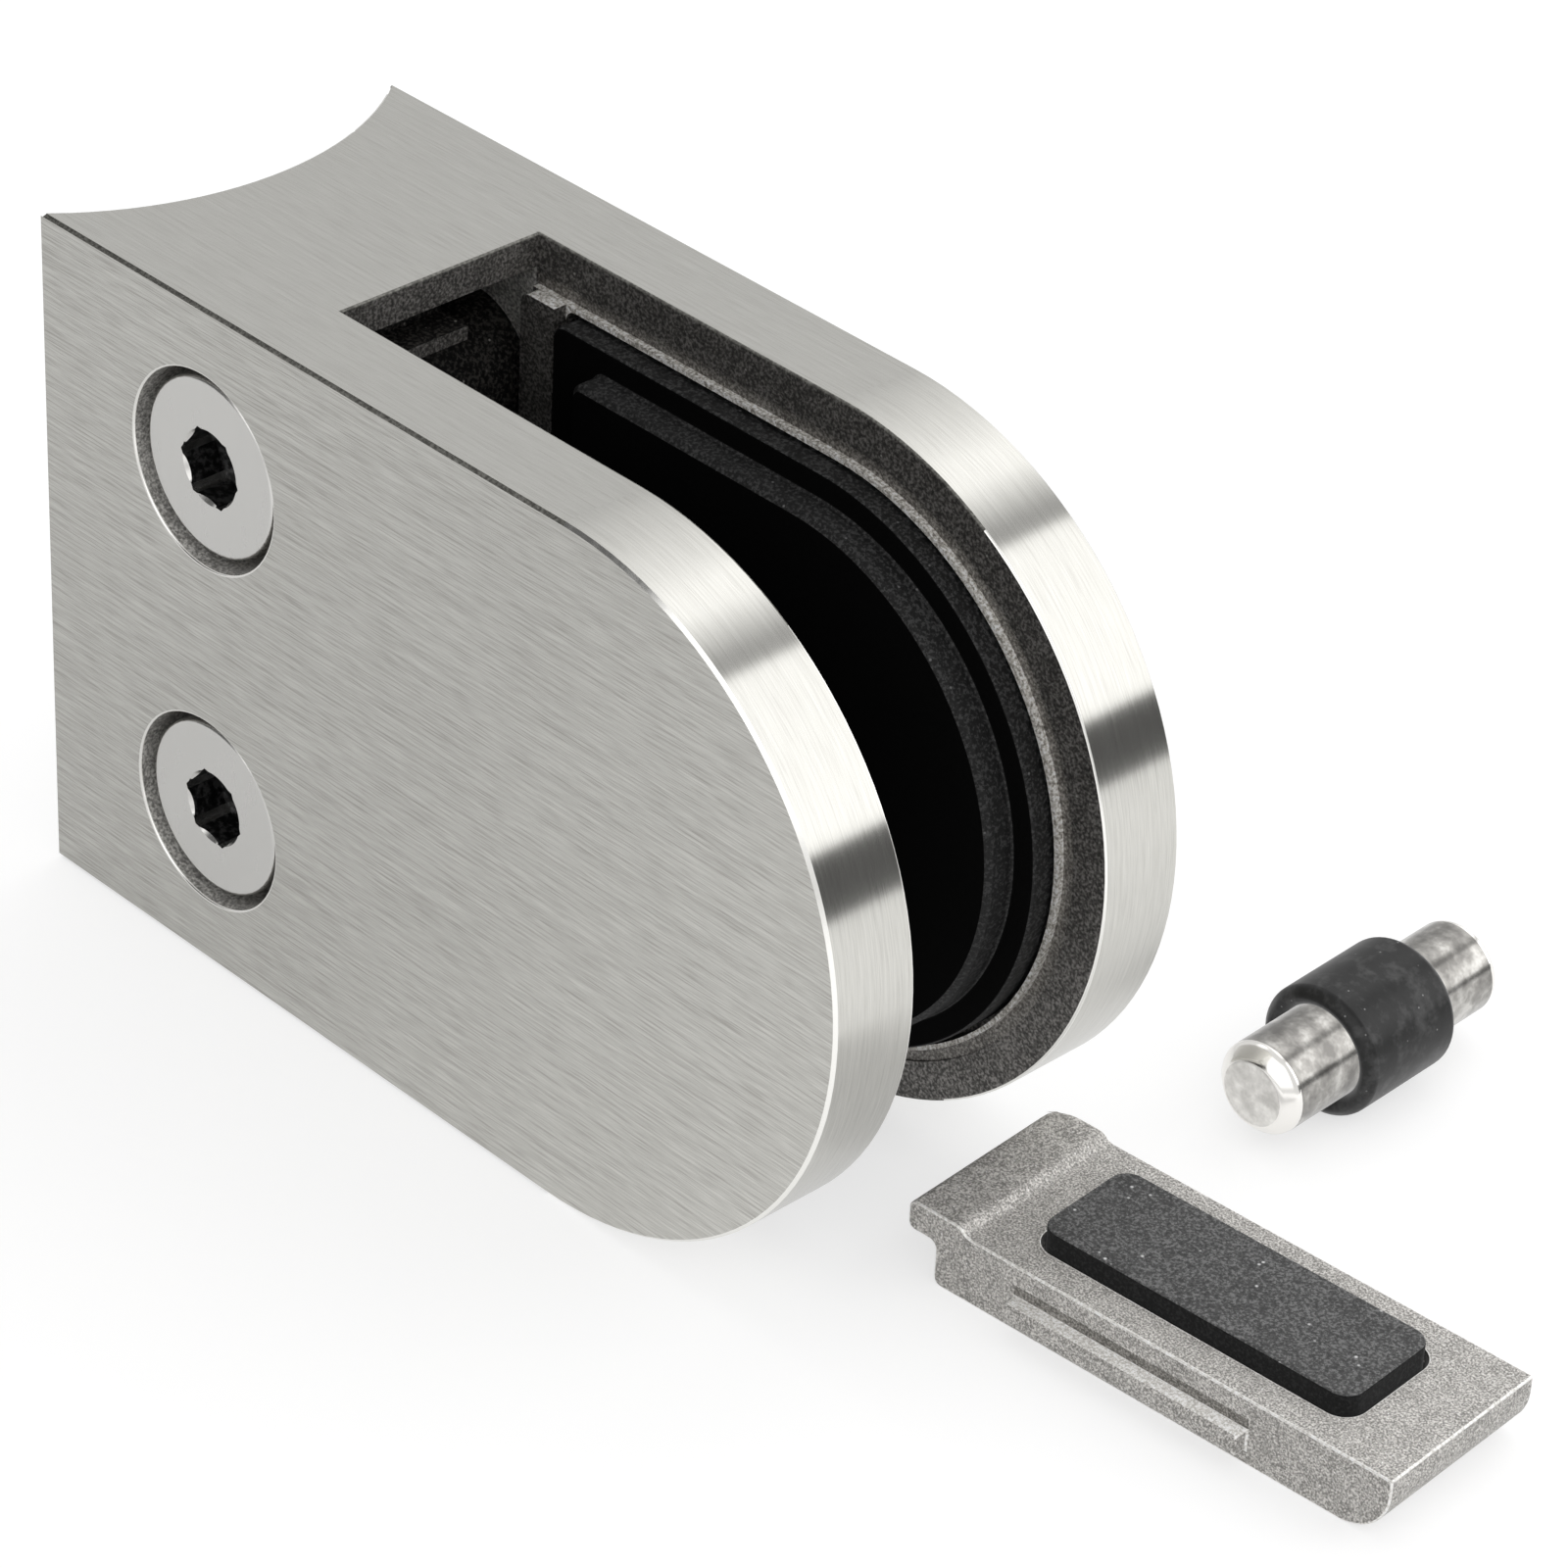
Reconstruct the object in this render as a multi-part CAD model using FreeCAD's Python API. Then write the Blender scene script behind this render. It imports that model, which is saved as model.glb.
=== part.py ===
"""Glass panel clamp for a round railing post.

A D-shaped clamp in two castings. The body has the front cheek, the web behind the glass slot
and two counterbored screw holes. The cover is the rear cheek, with a blind thread for each
screw. A rubber gasket sits in a recess of each cheek and holds the glass. A safety pin with
its rubber sleeve and a hooked safety plate with its rubber pad lie beside the clamp.

Frame, in millimetres: the origin is the middle of the saddle's lower edge, where the clamp
meets the post, level with the clamp's base. X runs out from the post along the glass, Y runs
across the glass, from the screwed front to the cover, and Z is up.
"""
import FreeCAD, Part
import math
import os

from FreeCAD import Vector

# Clamp: overall sizes
height = 45.0
straight_length = 45.5
cheek = 5.9
slot_width = 14.9
web_length = 20.1
post_diameter = 42.4
edge_chamfer = 0.35

# Cheek insides: the recess for the gasket, with a thin ridge and a plain rim round it
rim_width = 3.65
rim_step = 1.15
rim_step_depth = 0.12
ridge_width = 0.3
ridge_proud = 0.35
recess_depth = 1.0
recess_corner = 0.8

# Web: the hooking groove above and below, and the hollows round the screw bosses
groove_edge = 2.15
groove_height = 2.1
groove_depth = 2.4
ledge_thickness = 0.9
relief_depth = 5.0
relief_wall = 1.5
core_depth = 5.4
core_wall = 4.0
core_corner = 1.2
boss_wall = 1.7

# Bolt that holds the clamp to the post, through the web
post_bolt_hole = 6.6
post_bolt_seat = 5.0
post_bolt_head_room = 12.6

# Cover screws, with a low head and a hexagon socket
screw_offset = 14.7
screw_spacing = 23.5
lower_screw_turn = 42.0
upper_screw_turn = 36.0
thread_size = 6.0
thread_clearance = 0.05
thread_depth = 4.8
screw_length = 20.0
screw_hole = 6.6
screw_tip_chamfer = 0.6
head_diameter = 11.4
head_height = 4.0
head_chamfer = 0.3
head_sink = 0.5
head_gap = 0.65
hex_key = 4.5
socket_depth = 2.4
socket_lead = 0.15
drill_angle = 118.0

# Gaskets: a base in the recess, and a raised pad that meets the glass
gasket_gap = 0.3
gasket_step = 1.65
gasket_height = 3.55
pad_margin = 1.65
pad_start = 3.6
gasket_corner = 1.0
gasket_edge = 0.35

# Stop rib on each cheek at the slot's end, which keeps the gasket in its place
stop_width = 2.9
stop_height = 1.3
stop_corner = 0.7

# Safety pin, its seats in the cheeks and its rubber sleeve
pin_diameter = 6.0
pin_length = 20.0
pin_edge = 0.8
pin_seat_offset = 42.0
pin_seat_depth = 2.5
pin_seat_clearance = 0.2
sleeve_wall = 1.25
sleeve_length = 8.3
sleeve_edge = 0.5
sleeve_mouth = 0.4

# Safety plate: a cast plate with a hook, side ribs and a pocket for its pad
plate_length = 34.3
plate_width = 12.8
plate_thickness = 4.4
plate_end_radius = 3.3
hook_reach = 2.1
hook_underside = 2.9
hook_top = 4.88
hook_flat = 3.2
hook_ramp = 1.6
plate_edge = 0.55
rib_start = 8.0
rib_length = 16.6
rib_bottom = 1.0
rib_height = 1.4
rib_proud = 1.1
rib_edge = 0.4
pocket_start = 7.1
pocket_side = 2.25
pocket_length = 22.5
pocket_width = 8.2
pocket_corner = 1.5
pocket_depth = 1.5
pad_gap = 0.25
pad_proud = 1.25
pad_edge = 0.15

# Where the loose pieces lie: how far past the clamp's round end, past its back or its middle
pin_past_end = 0.63
pin_past_back = 17.2
pin_turn = 2.8
plate_past_end = -4.12
plate_past_middle = -2.35
plate_turn = 4.35

# Worked out from the sizes above
thickness = 2 * cheek + slot_width
front_y = -thickness / 2
back_y = thickness / 2
inner_front_y = front_y + cheek
split_y = back_y - cheek
post_radius = post_diameter / 2
post_x = -post_radius
saddle_x = post_x + math.sqrt(post_radius ** 2 - back_y ** 2)
slot_x = saddle_x + web_length
arc_x = saddle_x + straight_length
mid_z = height / 2
end_x = arc_x + mid_z
screw_x = saddle_x + screw_offset
lower_screw_z = mid_z - screw_spacing / 2
upper_screw_z = mid_z + screw_spacing / 2
screw_heights = (lower_screw_z, upper_screw_z)
head_top_y = front_y + head_sink
head_seat_y = head_top_y + head_height
recess_x = slot_x + stop_width
gasket_x = recess_x + gasket_gap
gasket_margin = rim_width + gasket_gap
pin_seat_x = saddle_x + pin_seat_offset
beyond = 5.0

X = Vector(1, 0, 0)
Y = Vector(0, 1, 0)
Z = Vector(0, 0, 1)


def d_prism(left_x, margin, low_y, high_y, corner=0.0):
    """A D outline, inset by margin from the clamp's own, extruded from low_y to high_y."""
    low_z = margin
    high_z = height - margin
    right = Vector(end_x - margin, low_y, mid_z)
    arc = Part.Arc(Vector(arc_x, low_y, low_z), right, Vector(arc_x, low_y, high_z))
    edges = [
        Part.makeLine(Vector(left_x, low_y, low_z), Vector(arc_x, low_y, low_z)),
        arc.toShape(),
        Part.makeLine(Vector(arc_x, low_y, high_z), Vector(left_x, low_y, high_z)),
        Part.makeLine(Vector(left_x, low_y, high_z), Vector(left_x, low_y, low_z)),
    ]
    prism = Part.Face(Part.Wire(edges)).extrude(Y * (high_y - low_y))
    if corner:
        uprights = [e for e in prism.Edges if is_along(e, Y) and near(e.CenterOfMass.x, left_x)]
        prism = prism.makeFillet(corner, uprights)
    return prism


def box(low, high):
    """A box between two corners."""
    size = [b - a for a, b in zip(low, high)]
    return Part.makeBox(size[0], size[1], size[2], Vector(*low))


def rod(radius, start, direction, length):
    """A round bar, or the hole that one leaves."""
    return Part.makeCylinder(radius, length, start, direction)


def near(a, b, tolerance=1e-3):
    return abs(a - b) < tolerance


def is_along(edge, direction):
    """True for a straight edge that runs along direction."""
    if edge.Curve.TypeId != "Part::GeomLine":
        return False
    return edge.Curve.Direction.cross(direction).Length < 1e-6


def outline_edges(shape, y):
    """The edges of the D outline that lie in the face at y, without the saddle's edge."""
    found = []
    for edge in shape.Edges:
        corners = edge.BoundBox
        if near(corners.YMin, y) and near(corners.YMax, y):
            on_top = near(corners.ZMin, height) or near(corners.ZMax, 0)
            if on_top or corners.XMax > arc_x + mid_z / 2:
                found.append(edge)
    return found


def post():
    """The round post that the clamp's saddle fits."""
    return rod(post_radius, Vector(post_x, 0, -beyond), Z, height + 2 * beyond)


def screw_axis(z, y):
    """A point on a cover screw's centre line."""
    return Vector(screw_x, y, z)


def cheek_recess(inner_y, side):
    """The gasket's recess in a cheek, with the step round it; side is +1 into the cover."""
    low_y, high_y = sorted((inner_y, inner_y + side * recess_depth))
    recess = d_prism(recess_x, rim_width, low_y, high_y, corner=recess_corner)
    low_y, high_y = sorted((inner_y, inner_y + side * rim_step_depth))
    step = d_prism(slot_x, rim_width - rim_step, low_y, high_y)
    return recess.fuse(step)


def cheek_ridge(inner_y, side):
    """What stands proud of a cheek: the stop rib, and the ridge from it round the recess."""
    foot_y = inner_y + side * recess_depth / 2
    low_y, high_y = sorted((foot_y, inner_y - side * ridge_proud))
    ridge_margin = rim_width - ridge_width
    ridge = d_prism(slot_x, ridge_margin, low_y, high_y)
    ridge = ridge.cut(d_prism(recess_x, rim_width, low_y, high_y, corner=recess_corner))
    low_y, high_y = sorted((foot_y, inner_y - side * stop_height))
    rib = box((slot_x, low_y, ridge_margin), (recess_x, high_y, height - ridge_margin))
    inner_ends = [e for e in rib.Edges if is_along(e, Y) and near(e.CenterOfMass.x, slot_x)]
    return ridge.fuse(rib.makeFillet(stop_corner, inner_ends))


def pin_seat(inner_y, side):
    """The blind hole in a cheek that takes one end of the safety pin."""
    radius = pin_diameter / 2 + pin_seat_clearance
    return rod(radius, Vector(pin_seat_x, inner_y, mid_z), Y * side, pin_seat_depth)


def web_grooves():
    """The grooves under the web's upper and lower edges that the safety plate hooks into."""
    left = slot_x - groove_depth
    low = box((left, inner_front_y, groove_edge),
              (slot_x, split_y, groove_edge + groove_height))
    high = box((left, inner_front_y, height - groove_edge - groove_height),
               (slot_x, split_y, height - groove_edge))
    return [low, high]


def web_hollows():
    """The hollows round the two screw bosses, at the split face and at the slot's end."""
    left = saddle_x + core_wall + post_radius - math.sqrt(post_radius ** 2 - split_y ** 2)
    hollow = box((left, split_y - core_depth, groove_edge),
                 (slot_x, split_y, height - groove_edge))
    uprights = [e for e in hollow.Edges if is_along(e, Y) and near(e.CenterOfMass.x, left)]
    hollow = hollow.makeFillet(core_corner, uprights)
    ledge = groove_edge + groove_height + ledge_thickness
    relief = box((slot_x - relief_depth, inner_front_y + relief_wall, ledge),
                 (slot_x, split_y, height - ledge))
    boss_radius = screw_hole / 2 + boss_wall
    bosses = [rod(boss_radius, screw_axis(z, front_y), Y, thickness) for z in screw_heights]
    return hollow.fuse(relief).cut(Part.Compound(bosses))


def clamp_body():
    body = d_prism(saddle_x, 0, front_y, split_y)
    body = body.makeChamfer(edge_chamfer, outline_edges(body, front_y))
    cuts = [post()]
    cuts.append(box((slot_x, inner_front_y, -beyond),
                    (end_x + beyond, split_y + beyond, height + beyond)))
    for z in screw_heights:
        counterbore = head_diameter / 2 + head_gap
        cuts.append(rod(counterbore, screw_axis(z, front_y), Y, head_sink + head_height))
        cuts.append(rod(screw_hole / 2, screw_axis(z, front_y), Y, thickness))
    cuts += web_grooves()
    cuts.append(web_hollows())
    bolt_start = Vector(-beyond, 0, mid_z)
    cuts.append(rod(post_bolt_hole / 2, bolt_start, X, post_bolt_seat + 2 * beyond))
    head_start = Vector(post_bolt_seat, 0, mid_z)
    head_run = slot_x - head_start.x + beyond
    cuts.append(rod(post_bolt_head_room / 2, head_start, X, head_run))
    cuts.append(cheek_recess(inner_front_y, -1))
    cuts.append(pin_seat(inner_front_y, -1))
    body = body.cut(Part.Compound(cuts))
    return body.fuse(cheek_ridge(inner_front_y, -1)).removeSplitter()


def clamp_cover():
    cover = d_prism(saddle_x, 0, split_y, back_y)
    cover = cover.makeChamfer(edge_chamfer, outline_edges(cover, back_y))
    cuts = [post(), cheek_recess(split_y, 1), pin_seat(split_y, 1)]
    radius = thread_size / 2
    tip = radius / math.tan(math.radians(drill_angle / 2))
    tip = min(tip, (cheek - thread_depth) / 2)
    for z in screw_heights:
        cuts.append(rod(radius, screw_axis(z, split_y), Y, thread_depth))
        cuts.append(Part.makeCone(radius, 0, tip, screw_axis(z, split_y + thread_depth), Y))
    return cover.cut(Part.Compound(cuts)).fuse(cheek_ridge(split_y, 1)).removeSplitter()


def gasket(inner_y, side):
    """A gasket in the recess of a cheek; side is +1 into the cover, -1 into the body."""
    floor_y = inner_y + side * recess_depth
    step_y = inner_y - side * gasket_step
    face_y = inner_y - side * gasket_height
    low_y, high_y = sorted((floor_y, step_y))
    base = d_prism(gasket_x, gasket_margin, low_y, high_y, corner=gasket_corner)
    low_y, high_y = sorted((floor_y, face_y))
    pad = d_prism(gasket_x + pad_start, gasket_margin + pad_margin, low_y, high_y,
                  corner=gasket_corner)
    face_edges = [e for e in pad.Edges
                  if near(e.BoundBox.YMin, face_y) and near(e.BoundBox.YMax, face_y)]
    pad = pad.makeChamfer(gasket_edge, face_edges)
    bore = rod(pin_diameter / 2 + pin_seat_clearance,
               Vector(pin_seat_x, front_y, mid_z), Y, thickness)
    return base.fuse(pad).removeSplitter().cut(bore)


def screw(z, turn):
    """A low-head screw with a hexagon socket, its head towards the front, turned by some degrees."""
    head = rod(head_diameter / 2, screw_axis(z, head_top_y), Y, head_height)
    rims = [e for e in head.Edges if near(e.BoundBox.YMax, head_top_y)]
    head = head.makeChamfer(head_chamfer, rims)
    shank = rod(thread_size / 2 - thread_clearance, screw_axis(z, head_seat_y), Y, screw_length)
    tips = [e for e in shank.Edges if near(e.BoundBox.YMin, head_seat_y + screw_length)]
    shank = shank.makeChamfer(screw_tip_chamfer, tips)
    corner_radius = hex_key / math.sqrt(3)
    corners = []
    for index in range(7):
        angle = math.radians(turn + 60 * index)
        offset = Vector(math.sin(angle), 0, math.cos(angle)) * corner_radius
        corners.append(screw_axis(z, head_top_y) + offset)
    socket = Part.Face(Part.makePolygon(corners)).extrude(Y * socket_depth)
    wide = corner_radius + socket_lead
    lead = Part.makeCone(wide, corner_radius - socket_lead, 2 * socket_lead,
                         screw_axis(z, head_top_y), Y)
    tip = Part.makeCone(hex_key / 2, 0, hex_key / 2 / math.tan(math.radians(drill_angle / 2)),
                        screw_axis(z, head_top_y + socket_depth), Y)
    return head.fuse(shank).removeSplitter().cut(Part.Compound([socket, lead, tip]))


def round_piece(profile):
    """A turned or moulded piece: a closed profile of (radius, length) spun about the Y axis."""
    points = [Vector(radius, along, 0) for radius, along in profile]
    outline = Part.makePolygon(points + [points[0]])
    return Part.Face(outline).revolve(Vector(0, 0, 0), Y, 360)


def lay_pin(shape):
    """Puts a piece of the pin, made about the Y axis, where the pin lies on its sleeve."""
    shape.rotate(Vector(0, 0, 0), Z, pin_turn)
    shape.translate(Vector(end_x + pin_past_end, back_y + pin_past_back,
                           pin_diameter / 2 + sleeve_wall))
    return shape


def safety_pin():
    """A turned pin, its ends chamfered."""
    half = pin_length / 2
    radius = pin_diameter / 2
    return lay_pin(round_piece([
        (0, -half), (radius - pin_edge, -half), (radius, -half + pin_edge),
        (radius, half - pin_edge), (radius - pin_edge, half), (0, half)]))


def pin_sleeve():
    """The sleeve, chamfered outside and at the mouths of its bore."""
    half = sleeve_length / 2
    inner = pin_diameter / 2
    outer = inner + sleeve_wall
    return lay_pin(round_piece([
        (inner, -half + sleeve_mouth), (inner + sleeve_mouth, -half),
        (outer - sleeve_edge, -half), (outer, -half + sleeve_edge),
        (outer, half - sleeve_edge), (outer - sleeve_edge, half),
        (inner + sleeve_mouth, half), (inner, half - sleeve_mouth)]))


def lay_plate(shape):
    """Puts a piece of the plate, made along X from its hook's tip, where the plate lies."""
    shape.rotate(Vector(0, 0, 0), Z, plate_turn)
    shape.translate(Vector(end_x + plate_past_end, plate_past_middle, 0))
    return shape


def plate_blank():
    """The plate's side profile, with its hook and its rounded lower end, across its width."""
    corner = plate_end_radius * (1 - math.sqrt(0.5))
    ramp_start = hook_flat
    ramp_end = hook_flat + hook_ramp
    ramp_mid = (ramp_start + ramp_end) / 2
    middle = (hook_top + plate_thickness) / 2
    points = {
        "tip_low": Vector(0, 0, hook_underside),
        "under": Vector(hook_reach, 0, hook_underside),
        "heel": Vector(hook_reach, 0, 0),
        "end_low": Vector(plate_length - plate_end_radius, 0, 0),
        "end_mid": Vector(plate_length - corner, 0, corner),
        "end_high": Vector(plate_length, 0, plate_end_radius),
        "end_top": Vector(plate_length, 0, plate_thickness),
        "ramp_low": Vector(ramp_end, 0, plate_thickness),
        "ramp_high": Vector(ramp_start, 0, hook_top),
        "tip_top": Vector(0, 0, hook_top),
    }
    ramp = Part.BezierCurve()
    ramp.setPoles([points["ramp_low"], Vector(ramp_mid, 0, plate_thickness),
                   Vector(ramp_mid, 0, middle), Vector(ramp_mid, 0, hook_top),
                   points["ramp_high"]])
    end = Part.Arc(points["end_low"], points["end_mid"], points["end_high"])
    edges = [
        Part.makeLine(points["tip_low"], points["under"]),
        Part.makeLine(points["under"], points["heel"]),
        Part.makeLine(points["heel"], points["end_low"]),
        end.toShape(),
        Part.makeLine(points["end_high"], points["end_top"]),
        Part.makeLine(points["end_top"], points["ramp_low"]),
        ramp.toShape(),
        Part.makeLine(points["ramp_high"], points["tip_top"]),
        Part.makeLine(points["tip_top"], points["tip_low"]),
    ]
    blank = Part.Face(Part.Wire(edges)).extrude(Y * plate_width)
    soft = [e for e in blank.Edges if is_along(e, Y) and near(e.CenterOfMass.x, 0)]
    soft += [e for e in blank.Edges if is_along(e, Y) and near(e.CenterOfMass.x, hook_reach)]
    return blank.makeFillet(plate_edge, soft)


def rounded_block(low, high, corner):
    """A block with rounded upright corners."""
    block = box(low, high)
    return block.makeFillet(corner, [e for e in block.Edges if is_along(e, Z)])


def plate_rib(side_y, side):
    """A raised rib along one side of the plate."""
    low_y, high_y = sorted((side_y - side * rib_edge, side_y + side * rib_proud))
    rib = box((rib_start, low_y, rib_bottom),
              (rib_start + rib_length, high_y, rib_bottom + rib_height))
    outer_y = side_y + side * rib_proud
    soft = [e for e in rib.Edges
            if near(e.BoundBox.YMin, outer_y) and near(e.BoundBox.YMax, outer_y)]
    return rib.makeFillet(rib_edge, soft)


def safety_plate():
    plate = plate_blank()
    plate = plate.fuse([plate_rib(0, -1), plate_rib(plate_width, 1)])
    low = (pocket_start, pocket_side, plate_thickness - pocket_depth)
    high = (pocket_start + pocket_length, pocket_side + pocket_width, plate_thickness + beyond)
    return lay_plate(plate.cut(rounded_block(low, high, pocket_corner)))


def plate_pad():
    floor = plate_thickness - pocket_depth
    low = (pocket_start + pad_gap, pocket_side + pad_gap, floor)
    high = (pocket_start + pocket_length - pad_gap, pocket_side + pocket_width - pad_gap,
            plate_thickness + pad_proud)
    pad = rounded_block(low, high, pocket_corner - pad_gap)
    top = [e for e in pad.Edges if near(e.BoundBox.ZMin, high[2])]
    return lay_plate(pad.makeFillet(pad_edge, top))


def main():
    pieces = {
        "clamp_body": clamp_body(),
        "clamp_cover": clamp_cover(),
        "front_gasket": gasket(inner_front_y, -1),
        "rear_gasket": gasket(split_y, 1),
        "safety_pin": safety_pin(),
        "pin_sleeve": pin_sleeve(),
        "safety_plate": safety_plate(),
        "plate_pad": plate_pad(),
        "lower_screw": screw(lower_screw_z, lower_screw_turn),
        "upper_screw": screw(upper_screw_z, upper_screw_turn),
    }
    os.makedirs("parts", exist_ok=True)
    for name, shape in pieces.items():
        shape.exportStep("parts/" + name + ".step")
        print(name, len(shape.Solids), "solid", shape.isValid(), round(shape.Volume, 1), "mm3")


main()
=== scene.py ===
"""The looks of the glass panel clamp: its finishes, softened edges, threads, light and camera."""
import math

import bmesh
import bpy
from mathutils import Matrix, Vector


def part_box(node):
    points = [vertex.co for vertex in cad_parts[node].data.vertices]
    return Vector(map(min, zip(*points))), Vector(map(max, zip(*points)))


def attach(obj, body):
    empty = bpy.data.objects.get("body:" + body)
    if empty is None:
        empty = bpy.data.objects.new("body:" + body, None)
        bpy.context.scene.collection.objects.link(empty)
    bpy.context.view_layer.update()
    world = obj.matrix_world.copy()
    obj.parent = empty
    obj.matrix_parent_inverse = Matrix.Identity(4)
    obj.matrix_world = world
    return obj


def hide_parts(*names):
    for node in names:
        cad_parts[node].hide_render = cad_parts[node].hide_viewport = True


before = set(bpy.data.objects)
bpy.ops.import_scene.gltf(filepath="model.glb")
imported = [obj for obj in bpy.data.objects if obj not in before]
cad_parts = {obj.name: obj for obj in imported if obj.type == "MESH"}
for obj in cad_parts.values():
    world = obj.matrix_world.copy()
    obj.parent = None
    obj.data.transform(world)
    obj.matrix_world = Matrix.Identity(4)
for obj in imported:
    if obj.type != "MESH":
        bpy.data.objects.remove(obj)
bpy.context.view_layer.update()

MM = 0.001

# Sizes of the real clamp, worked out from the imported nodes
body_low, body_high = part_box("clamp_body")
cover_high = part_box("clamp_cover")[1]
height = body_high.z
end_x = body_high.x
end_radius = height / 2
arc_x = end_x - end_radius
front_y = body_low.y
back_y = cover_high.y
cheek_thickness = 5.9 * MM
inner_front_y = front_y + cheek_thickness
split_y = body_high.y
slot_straight = 25.4 * MM
slot_x = arc_x - slot_straight
post_radius = 21.2 * MM
screw_x = 9.97 * MM
screw_heights = {"lower_screw": 10.75 * MM, "upper_screw": 34.25 * MM}
counterbore_radius = 6.35 * MM
pin_chamfer = 0.8 * MM
pin_length = 20 * MM
pin_turn = math.radians(2.8)
plate_tip = Vector((end_x - 4.12 * MM, -2.35 * MM, 0))
plate_turn = math.radians(4.35)
plate_width = 12.8 * MM
plate_corner = 1.8 * MM
rib_ends = (8.0 * MM, 24.6 * MM)
rib_top = 2.4 * MM
shade_top = 3.1 * MM
pocket_ends = (7.0 * MM, 29.7 * MM)
pocket_sides = (2.0 * MM, 11.0 * MM)
pocket_heights = (2.8 * MM, 4.38 * MM)
recess_x = slot_x + 2.9 * MM
rim_step_depth = 0.12 * MM
ridge_proud = 0.35 * MM
ridge_margin = 3.35 * MM
# How far past the slot's end its filed edges run out
edge_run_out = 0.1 * MM
chamfer = 0.35 * MM
# The real edge break is this wide; the solids have a wider one
fine_chamfer = 0.2 * MM
filed_width = 0.14 * MM
seam_round = 0.3 * MM
# How far round the end, from straight up, the slot's rim edges are painted dark for the dark they
# mirror
dark_rim_turn = math.radians(32)
worn_width = 0.12 * MM
gasket_round = 0.22 * MM
sleeve_round = 0.2 * MM
pad_round = 0.1 * MM
pin_round = 0.25 * MM
# How far in from the outline and the saddle a face still counts as an outside one, and how
# far into a cheek the slot's own faces go
outside_skin = 0.2 * MM
saddle_skin = 0.3 * MM
cheek_inside = 2 * MM

# How close two places count as one: joined points, flat faces and faceted curves
ROUND = 1e-6
CLOSE = 0.02 * MM
CLOSE_ON_CURVE = 0.05 * MM
# The angles up to which two faces count as flat, or are shaded smooth
FLAT_ANGLE = math.radians(0.3)
SMOOTH_ANGLE = math.radians(38)
# How much of an axis the normal of a face that looks along it holds, roughly and squarely,
# and between which shares that of an edge break lies
FACING = 0.72
SQUARE = 0.9
BREAK_LEAN = (0.6, 0.8)


def linear(code):
    """Turns an sRGB hex value into Blender's linear colour."""
    channels = []
    for start in (0, 2, 4):
        value = int(code[start:start + 2], 16) / 255
        channels.append(value / 12.92 if value <= 0.04045 else ((value + 0.055) / 1.055) ** 2.4)
    return (*channels, 1.0)


def add(tree, kind, inputs=None, **settings):
    """Adds a node; inputs gives each input a value, or the socket that feeds it."""
    node = tree.nodes.new(kind)
    for name, value in settings.items():
        setattr(node, name, value)
    for name, value in (inputs or {}).items():
        if isinstance(value, bpy.types.NodeSocket):
            tree.links.new(value, node.inputs[name])
        else:
            node.inputs[name].default_value = value
    return node


def new_material(name):
    """An empty material: its node tree and its output."""
    material = bpy.data.materials.new(name)
    material.use_nodes = True
    material.node_tree.nodes.clear()
    output = add(material.node_tree, "ShaderNodeOutputMaterial")
    return material, material.node_tree, output


def ramp(tree, factor, stops):
    """A colour ramp through (position, hex colour) stops."""
    node = add(tree, "ShaderNodeValToRGB", {"Fac": factor})
    elements = node.color_ramp.elements
    while len(elements) < len(stops):
        elements.new(0.5)
    for element, (position, code) in zip(elements, stops):
        element.position = position
        element.color = linear(code)
    return node.outputs["Color"]


# Materials

def brushed_stainless(name, depth):
    """AISI 304 casting, ground and brushed along its length: short fine lines in light grey."""
    material, tree, output = new_material(name)
    uv = add(tree, "ShaderNodeUVMap", uv_map="grain")

    def lines(length_mm, width_mm, detail):
        """A noise drawn out along the brush lines."""
        place = add(tree, "ShaderNodeMapping", {
            "Vector": uv.outputs["UV"], "Scale": (1 / (length_mm * MM), 1 / (width_mm * MM), 1)})
        noise = add(tree, "ShaderNodeTexNoise", {
            "Vector": place.outputs["Vector"], "Scale": 1.0, "Detail": detail, "Roughness": 0.6})
        return noise.outputs["Fac"]

    fine = lines(length_mm=2.8, width_mm=0.085, detail=2.0)
    broad = lines(length_mm=12.0, width_mm=0.22, detail=1.5)
    broad_share = 0.35
    both = add(tree, "ShaderNodeMix", {0: broad_share, 2: fine, 3: broad}, data_type="FLOAT")
    from_middle = add(tree, "ShaderNodeMath", {0: both.outputs[0], 1: 0.5}, operation="SUBTRACT")
    tone = add(tree, "ShaderNodeMath", {0: from_middle.outputs[0], 1: depth, 2: 0.5},
               operation="MULTIPLY_ADD")
    colour = ramp(tree, tone.outputs[0], [(0.38, "ADABA6"), (0.50, "C4C3BE"), (0.62, "D3D2CD")])
    bump = add(tree, "ShaderNodeBump", {"Height": fine, "Strength": 0.1, "Distance": 0.0025 * MM})
    tangent = add(tree, "ShaderNodeTangent", direction_type="UV_MAP", uv_map="grain")
    shader = add(tree, "ShaderNodeBsdfPrincipled", {
        "Base Color": colour, "Metallic": 1.0, "Roughness": 0.2,
        "Anisotropic": 0.9, "Anisotropic Rotation": 0.25,
        "Tangent": tangent.outputs["Tangent"], "Normal": bump.outputs["Normal"]})
    tree.links.new(shader.outputs["BSDF"], output.inputs["Surface"])
    return material


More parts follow.
